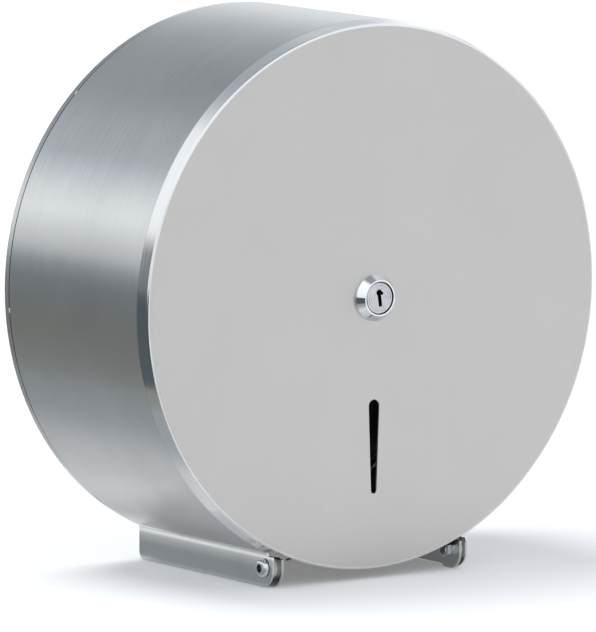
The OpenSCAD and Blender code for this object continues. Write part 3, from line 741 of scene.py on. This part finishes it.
housing = bmesh.new()
turn(housing, [(bore_r, recess_depth)] + bezel + [
    (barrel, 0), (thread_root, 0.7), (thread_root, 18.5), (8.3, 19), (bore_r, 19)],
    to_back, 120, in_recess)
settle(mesh_of("lock_bezel_and_barrel", housing, chrome, recess_painted_shade_zinc),
       "cover", "polished_chrome", "lock_housing", smooth=30)

# The barrel's thread follows a helix, and is cut off at the flats
helix, given = tree_with("barrel_thread", Radius="Float", Pitch="Float", Length="Float",
                         Flat="Float", Material="Material")
rounds = add(helix, "ShaderNodeMath", {0: given["Length"], 1: given["Pitch"]},
             operation="DIVIDE")
line = add(helix, "GeometryNodeCurveSpiral", {
    "Resolution": 64, "Rotations": rounds.outputs[0], "Start Radius": given["Radius"],
    "End Radius": given["Radius"], "Height": given["Length"]})
flank = add(helix, "ShaderNodeMath", {0: given["Pitch"], 1: 0.46}, operation="MULTIPLY")
ridge = add(helix, "GeometryNodeCurvePrimitiveCircle", {
    "Resolution": 6, "Radius": flank.outputs[0]})
wound = add(helix, "GeometryNodeCurveToMesh", {
    "Curve": line.outputs[0], "Profile Curve": ridge.outputs[0], "Fill Caps": True})
at = add(helix, "ShaderNodeSeparateXYZ", {
    0: add(helix, "GeometryNodeInputPosition").outputs[0]})
under = add(helix, "ShaderNodeMath", {0: at.outputs[1], 1: given["Flat"]},
            operation="MINIMUM")
lowest = add(helix, "ShaderNodeMath", {0: given["Flat"], 1: -1.0}, operation="MULTIPLY")
within = add(helix, "ShaderNodeMath", {0: under.outputs[0], 1: lowest.outputs[0]},
             operation="MAXIMUM")
moved = add(helix, "ShaderNodeCombineXYZ", {
    0: at.outputs[0], 1: within.outputs[0], 2: at.outputs[2]})
milled = add(helix, "GeometryNodeSetPosition", {
    "Geometry": wound.outputs[0], "Position": moved.outputs[0]})
end_tree(helix, milled, given["Material"])
thread = grow("lock_barrel_thread", helix, bpy.data.meshes.new("thread"), Radius=9.04 * MM,
              Pitch=1 * MM, Length=11.5 * MM, Flat=8.51 * MM, Material=chrome)
thread_start = 6.4
thread.data.transform(Matrix.Translation((0, thread_start * MM, 0)) @ to_back)
tidy_mesh(thread.data)
settle(thread, "cover", "polished_chrome", smooth=60)

dress("lock_washer", zinc)
lock_nut = bmesh.new()
nut(lock_nut, 23, 9.6, 1.8, 5.8, to_back)
settle(mesh_of("lock_hexagon_nut", lock_nut, zinc), "cover", "zinc_plated", "lock_nut")


# Lock plug: the turned core that the key goes into. Its face keeps the rings that the
# turning tool left, and behind the barrel it ends in a square that drives the cam.
# Turned nickel: a warm pale grey, whose fine rings catch the light one by one
nickel = metal("turned_nickel_plating", "#CBCBCE", "#B6B7BA", 0.2, "", 0.6, 0.6, bump=0.1)
face = -4.6
plug_outline = [(0, face), (3.4, face), (3.5, -4.52), (3.65, -4.52), (3.75, face),
                (4.9, face), (5.0, -4.5), (5.25, -4.5), (5.35, face),
                (6.2, face), (6.35, -4.45), (6.6, -4.45), (6.75, face), (7.6, face),
                (7.85, -4.4), (7.85, -2.6), (6, -2.6), (6, 19.1), (5.8, 19.3), (0, 19.3)]
plug_core = bmesh.new()
turn(plug_core, plug_outline, to_back, 120)
plug = mesh_of("turned_lock_plug", plug_core, nickel)

# The keyhole: a narrow leg, a small step on the right and a round head, leaning a little
keyway = [(-1.0, -4.3), (1.0, -4.3), (1.0, 1.5), (2.4, 1.5), (2.4, 2.8)]
keyway += [(1.7 * cos(radians(a)), 2.8 + 1.7 * sin(radians(a))) for a in range(6, 234, 6)]
key = bmesh.new()
extrude(key, keyway, -6, 7.4, to_back @ Matrix.Rotation(radians(7), 4, "Z"), 0)
cut(plug, mesh_of("key_way", key))

square = 3.5
joined = bmesh.new()
joined.from_mesh(plug.data)
extrude(joined, soften([(-square, -square), (square, -square), (square, square),
                        (-square, square)], 0.3), 19.1, 21.3, to_back, 0.1)
joined.to_mesh(plug.data)
joined.free()
tidy_mesh(plug.data)
settle(plug, "lock_core", "polished_chrome", "lock_plug", smooth=30)


# Cam: a zinc-plated steel finger on the plug's square tail, held by a washer and a
# cross-headed screw. It goes through the strike plate's slot and turns behind it.
dress("lock_cam", zinc)
dress("cam_washer", zinc)
dress("cam_screw", zinc)


# Studio: a white table in a white room, with a darker side of the room at the left and
# behind. The dispenser stands on the table on its legs, as in the photograph.
def sheet(name, corners, material):
    """A flat sheet between four corners, which isn't part of the dispenser."""
    mesh = bpy.data.meshes.new(name)
    mesh.from_pydata(corners, [], [(0, 1, 2, 3)])
    mesh.materials.append(material)
    made = bpy.data.objects.new(name, mesh)
    SCENE.collection.objects.link(made)
    return made


def shades(tree, value, stops, most):
    """Colour ramp over (position, level, tint) stops, with levels as shares of `most`."""
    ramp = add(tree, "ShaderNodeValToRGB", {0: value})
    while len(ramp.color_ramp.elements) < len(stops):
        ramp.color_ramp.elements.new(0.5)
    for element, (position, level, tint) in zip(ramp.color_ramp.elements, stops):
        element.position = position
        element.color = [c * level / most for c in tint] + [1]
    return ramp.outputs[0]


blue, green, white = (0.93, 1.0, 1.08), (0.97, 1.0, 0.93), (0.97, 1.0, 1.03)
far = 20
table_z, shade_z, corner_z, strip_z = -0.1441, -0.1438, -0.1435, -0.144

# White table top. Its glow is only for the camera and for reflections, and lights nothing.
table_top = bpy.data.materials.new("white_table_top")
tree = cleared(table_top)
ray = add(tree, "ShaderNodeLightPath").outputs
seen = add(tree, "ShaderNodeMath", {0: ray["Is Camera Ray"], 1: ray["Is Glossy Ray"]},
           operation="ADD")
seen = add(tree, "ShaderNodeMath", {0: seen.outputs[0], 1: ray["Is Transmission Ray"]},
           operation="ADD")
glow = 0.21
lift = add(tree, "ShaderNodeMath", {0: seen.outputs[0], 1: glow}, operation="MULTIPLY")
paint = add(tree, "ShaderNodeBsdfPrincipled", {
    "Base Color": linear("#EDEFF2"), "Roughness": 0.9, "Specular IOR Level": 0.0,
    "Emission Color": (1.0, 1.0, 1.0, 1.0), "Emission Strength": lift.outputs[0]})
add(tree, "ShaderNodeOutputMaterial", {"Surface": paint.outputs[0]})
sheet("table", [(-far, -far, table_z), (far, -far, table_z), (far, far, table_z),
                (-far, far, table_z)], table_top)

# Reflections see a glowing card over the table, with painted shade that deepens between 0.1 and
# 0.25 m to the left, and the dim side of the room beyond. The drum's lower half mirrors it.
shade_side = bpy.data.materials.new("shaded_side_of_room")
tree = cleared(shade_side)
place = add(tree, "ShaderNodeTexCoord").outputs["Object"]
across_room = add(tree, "ShaderNodeSeparateXYZ", {0: place})
from_edge = add(tree, "ShaderNodeMapRange", {
    "Value": across_room.outputs[0], "From Min": -1.1, "From Max": -0.1})
stops = ((0.0, 0.34, blue), (0.3, 0.32, blue), (0.5, 0.30, green), (0.7, 0.30, green),
         (0.851, 0.33, green), (0.854, 0.43, blue), (0.915, 0.45, blue),
         (0.935, 0.52, blue), (0.96, 0.74, white), (1.0, 0.85, white))
dim = add(tree, "ShaderNodeEmission", {
    0: shades(tree, from_edge.outputs[0], stops, 1.0), 1: 1.0})
add(tree, "ShaderNodeOutputMaterial", {"Surface": dim.outputs[0]})
cards = [sheet("shaded_floor", [(-far, -0.6, shade_z), (-0.1, -0.6, shade_z),
                                (-0.1, far, shade_z), (-far, far, shade_z)], shade_side)]

# The room's dark corner, which the rim, the lock and the screw mirror, lies farther round
corner = bpy.data.materials.new("dark_corner_of_room")
tree = cleared(corner)
dim = add(tree, "ShaderNodeEmission", {0: (0.09, 0.11, 0.13, 1.0), 1: 1.0})
add(tree, "ShaderNodeOutputMaterial", {"Surface": dim.outputs[0]})
cards.append(sheet("dark_corner", [(-0.3, -4, corner_z), (-0.3, 0.0, corner_z),
                                   (-far, 17.7, corner_z), (-far, -4, corner_z)], corner))

# A low dark strip beside the left leg stands for the dim room that a shiny table mirrors at
# a grazing angle. Only what reflects it directly shows it, and it fades towards its top.
strip_x, strip_front, strip_rear, fade_z, strip_top = -0.068, -0.14, 0.2, -0.1365, -0.1325
dim_strip = bpy.data.materials.new("dim_strip")
tree = cleared(dim_strip)
place = add(tree, "ShaderNodeTexCoord").outputs["Object"]
height = add(tree, "ShaderNodeSeparateXYZ", {0: place}).outputs[2]
fade = add(tree, "ShaderNodeMapRange", {
    "Value": height, "From Min": fade_z, "From Max": strip_top})
tone = add(tree, "ShaderNodeMix", {
    0: fade.outputs[0], 6: (0.36, 0.39, 0.42, 1.0), 7: (0.62, 0.65, 0.66, 1.0)},
    data_type="RGBA").outputs[2]
dim = add(tree, "ShaderNodeEmission", {0: tone, 1: 1.0})
depth_of_ray = add(tree, "ShaderNodeLightPath").outputs["Ray Depth"]
later = add(tree, "ShaderNodeMath", {0: depth_of_ray, 1: 1.5}, operation="GREATER_THAN")
clear = add(tree, "ShaderNodeBsdfTransparent").outputs[0]
shown = add(tree, "ShaderNodeMixShader", {0: later.outputs[0], 1: dim.outputs[0], 2: clear})
add(tree, "ShaderNodeOutputMaterial", {"Surface": shown.outputs[0]})
cards.append(sheet("strip_beside_leg", [
    (strip_x, strip_front, strip_z), (strip_x, strip_rear, strip_z),
    (strip_x, strip_rear, strip_top), (strip_x, strip_front, strip_top)], dim_strip))
for card in cards:
    card.visible_camera = False
    card.visible_diffuse = False
    card.visible_transmission = False
    card.visible_shadow = False

# Daylight from all round. Behind, a window band stands above the dim lower part of the room:
# its edges run straight away from the wall, so the band is graded by how steeply a ray
# climbs across the room.
world = bpy.data.worlds.new("daylight_room")
tree = cleared(world)
way = add(tree, "ShaderNodeTexCoord").outputs["Generated"]
toward = add(tree, "ShaderNodeSeparateXYZ", {0: way}).outputs
across_2 = add(tree, "ShaderNodeMath", {0: toward[0], 1: toward[0]}, operation="MULTIPLY")
along_2 = add(tree, "ShaderNodeMath", {0: toward[1], 1: toward[1]}, operation="MULTIPLY")
level_2 = add(tree, "ShaderNodeMath", {0: along_2.outputs[0], 1: 0.15, 2: across_2.outputs[0]},
              operation="MULTIPLY_ADD")
run = add(tree, "ShaderNodeMath", {0: level_2.outputs[0]}, operation="SQRT")
climb = add(tree, "ShaderNodeMath", {0: toward[2], 1: run.outputs[0]}, operation="DIVIDE")
half_climb = add(tree, "ShaderNodeMath", {0: climb.outputs[0], 1: 0.5},
                 operation="MULTIPLY")
brightest = 1.4
back_stops = ((0.0, 0.42, blue), (0.022, 0.45, blue), (0.073, 1.0, white),
              (0.125, 1.16, white), (0.208, 1.38, white), (0.30, 1.10, white),
              (0.37, 0.86, blue), (0.45, 0.60, blue), (0.64, 0.54, blue),
              (0.83, 0.44, blue), (1.0, 0.38, blue))
side_stops = ((0.0, 0.2, blue), (0.22, 0.25, blue), (0.33, 1.2, white), (0.78, 1.3, white),
              (0.86, 0.6, blue), (1.0, 0.38, blue))
front_stops = ((0.0, 1.05, white), (0.5, 1.25, white), (0.9, 1.3, white),
               (0.97, 0.4, blue), (1.0, 0.35, blue))
back_room = shades(tree, half_climb.outputs[0], back_stops, brightest)
side_room = shades(tree, toward[2], side_stops, brightest)
front_room = shades(tree, toward[2], front_stops, brightest)
which = add(tree, "ShaderNodeMapRange", {
    "Value": toward[1], "From Min": -0.15, "From Max": 0.2})
near_room = add(tree, "ShaderNodeMix", {0: which.outputs[0], 6: front_room, 7: side_room},
                data_type="RGBA").outputs[2]
which = add(tree, "ShaderNodeMapRange", {
    "Value": toward[1], "From Min": 0.45, "From Max": 0.65})
room = add(tree, "ShaderNodeMix", {0: which.outputs[0], 6: near_room, 7: back_room},
           data_type="RGBA").outputs[2]
# What diffuse surfaces lack of it comes from the sun, which gives the floor its shadow
less_for_diffuse = -0.55
ray = add(tree, "ShaderNodeLightPath").outputs
strength = add(tree, "ShaderNodeMath", {
    0: ray["Is Diffuse Ray"], 1: less_for_diffuse, 2: brightest}, operation="MULTIPLY_ADD")
daylight = add(tree, "ShaderNodeBackground", {0: room, 1: strength.outputs[0]})
add(tree, "ShaderNodeOutputWorld", {0: daylight.outputs[0]})
SCENE.world = world

sun = bpy.data.lights.new("daylight_above", "SUN")
sun.energy = 1.55
sun.angle = radians(30)
sun.color = (1.0, 0.985, 0.96)
toward_sun = Vector((-0.18, 0.3, 0.94))
lamp = bpy.data.objects.new("daylight_above", sun)
lamp.matrix_world = toward_sun.to_track_quat("Z", "Y").to_matrix().to_4x4()
lamp.visible_glossy = False
SCENE.collection.objects.link(lamp)

SCENE.view_settings.view_transform = "Standard"
